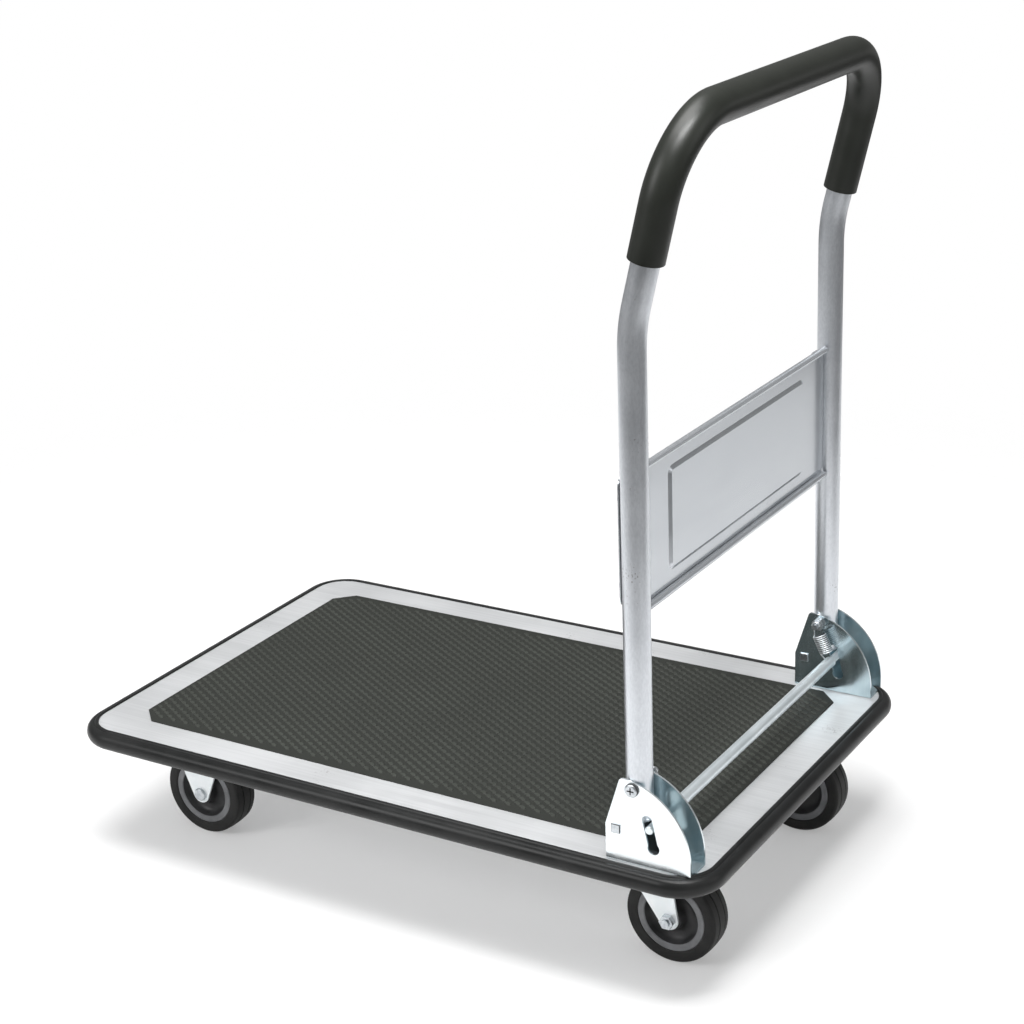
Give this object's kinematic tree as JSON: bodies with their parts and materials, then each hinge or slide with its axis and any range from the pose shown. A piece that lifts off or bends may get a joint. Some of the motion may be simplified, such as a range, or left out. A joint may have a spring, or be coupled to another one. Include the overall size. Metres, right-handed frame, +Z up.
{
  "type": "folding platform trolley",
  "caption": "Platform trolley with a pressed steel deck, ribbed mat, bumper, rigid and swivel casters, and a bent tube handle that folds flat when a foot bar is pressed.",
  "frame": {"origin": "on the floor, under the middle of the deck", "axes": "+Z up from the floor, +X towards the handle end, +Y to the right of the person who pushes it"},
  "size_m": [0.74, 0.48, 0.8269],
  "materials": {
    "galvanised_deck": "pale galvanised sheet, soft sheen",
    "galvanised_tube": "galvanised tube, soft streaks along its length",
    "galvanised_panel": "galvanised sheet, soft sheen",
    "zinc_bracket": "bright zinc plating, slightly blue",
    "zinc_fork": "bright zinc plating",
    "zinc_fastener": "bright zinc plating",
    "spring_steel": "drawn spring wire",
    "mat_rubber": "matt, with fine diagonal ribs",
    "bumper_rubber": "smooth extruded, slight gloss",
    "grip_plastic": "smooth soft sleeve",
    "tyre_rubber": "matt solid rubber",
    "core_plastic": "moulded, matt"
  },
  "bodies": {
    "chassis": {"deck": "galvanised_deck", "front_cross_channel": "galvanised_deck", "rear_cross_channel": "galvanised_deck", "anti_slip_mat": "mat_rubber", "bumper": "bumper_rubber", "left_hinge_bracket": "zinc_bracket", "right_hinge_bracket": "zinc_bracket", "bracket_bolts": "zinc_fastener", "bracket_nuts": "zinc_fastener", "left_stop_bar": "zinc_bracket", "right_stop_bar": "zinc_bracket", "left_pivot_bolt": "zinc_fastener", "right_pivot_bolt": "zinc_fastener", "pivot_washers": "zinc_fastener", "pivot_nuts": "zinc_fastener", "left_spring": "spring_steel", "right_spring": "spring_steel", "front_left_rigid_fork": "zinc_fork", "front_right_rigid_fork": "zinc_fork", "front_left_axle": "zinc_fastener", "front_right_axle": "zinc_fastener", "rear_left_swivel_plate": "zinc_fork", "rear_right_swivel_plate": "zinc_fork", "rear_left_kingpin": "zinc_fastener", "rear_right_kingpin": "zinc_fastener", "caster_bolts": "zinc_fastener", "caster_nuts": "zinc_fastener"},
    "handle": {"handle_tube": "galvanised_tube", "grip": "grip_plastic", "cross_panel": "galvanised_panel", "panel_rivets": "zinc_fastener", "pivot_bushes": "zinc_fastener"},
    "release_bar": {"release_bar": "zinc_bracket"},
    "rear_left_swivel": {"rear_left_swivel_fork": "zinc_fork", "rear_left_axle_bolt": "zinc_fastener", "rear_left_axle_nut": "zinc_fastener", "rear_left_swivel_balls": "zinc_fastener"},
    "rear_right_swivel": {"rear_right_swivel_fork": "zinc_fork", "rear_right_axle_bolt": "zinc_fastener", "rear_right_axle_nut": "zinc_fastener", "rear_right_swivel_balls": "zinc_fastener"},
    "front_left_wheel": {"front_left_tyre": "tyre_rubber", "front_left_wheel_core": "core_plastic", "front_left_hub_bush": "zinc_fastener"},
    "front_right_wheel": {"front_right_tyre": "tyre_rubber", "front_right_wheel_core": "core_plastic", "front_right_hub_bush": "zinc_fastener"},
    "rear_left_wheel": {"rear_left_tyre": "tyre_rubber", "rear_left_wheel_core": "core_plastic", "rear_left_hub_bush": "zinc_fastener"},
    "rear_right_wheel": {"rear_right_tyre": "tyre_rubber", "rear_right_wheel_core": "core_plastic", "rear_right_hub_bush": "zinc_fastener"}
  },
  "joints": [
    {"name": "handle_fold", "type": "hinge", "parent": "chassis", "child": "handle", "pos_m": [0.292, 0, 0.2125], "axis": [0, -1, 0], "range_deg": [0, 98.5]},
    {"name": "release_press", "type": "slide", "parent": "chassis", "child": "release_bar", "axis": [0.2164, 0, -0.9763], "range_m": [0, 0.0184], "stiffness_N_per_m": 900, "springref_m": -0.012, "deforming": ["left_spring", "right_spring"]},
    {"name": "rear_left_swivel", "type": "hinge", "parent": "chassis", "child": "rear_left_swivel", "pos_m": [0.265, -0.1445, 0.12], "axis": [0, 0, 1], "continuous": true},
    {"name": "rear_right_swivel", "type": "hinge", "parent": "chassis", "child": "rear_right_swivel", "pos_m": [0.265, 0.1445, 0.12], "axis": [0, 0, 1], "continuous": true},
    {"name": "front_left_spin", "type": "hinge", "parent": "chassis", "child": "front_left_wheel", "pos_m": [-0.263, -0.1445, 0.0475], "axis": [0, 1, 0], "continuous": true},
    {"name": "front_right_spin", "type": "hinge", "parent": "chassis", "child": "front_right_wheel", "pos_m": [-0.263, 0.1445, 0.0475], "axis": [0, 1, 0], "continuous": true},
    {"name": "rear_left_spin", "type": "hinge", "parent": "rear_left_swivel", "child": "rear_left_wheel", "pos_m": [0.295, -0.1445, 0.0475], "axis": [0, 1, 0], "continuous": true},
    {"name": "rear_right_spin", "type": "hinge", "parent": "rear_right_swivel", "child": "rear_right_wheel", "pos_m": [0.295, 0.1445, 0.0475], "axis": [0, 1, 0], "continuous": true}
  ]
}
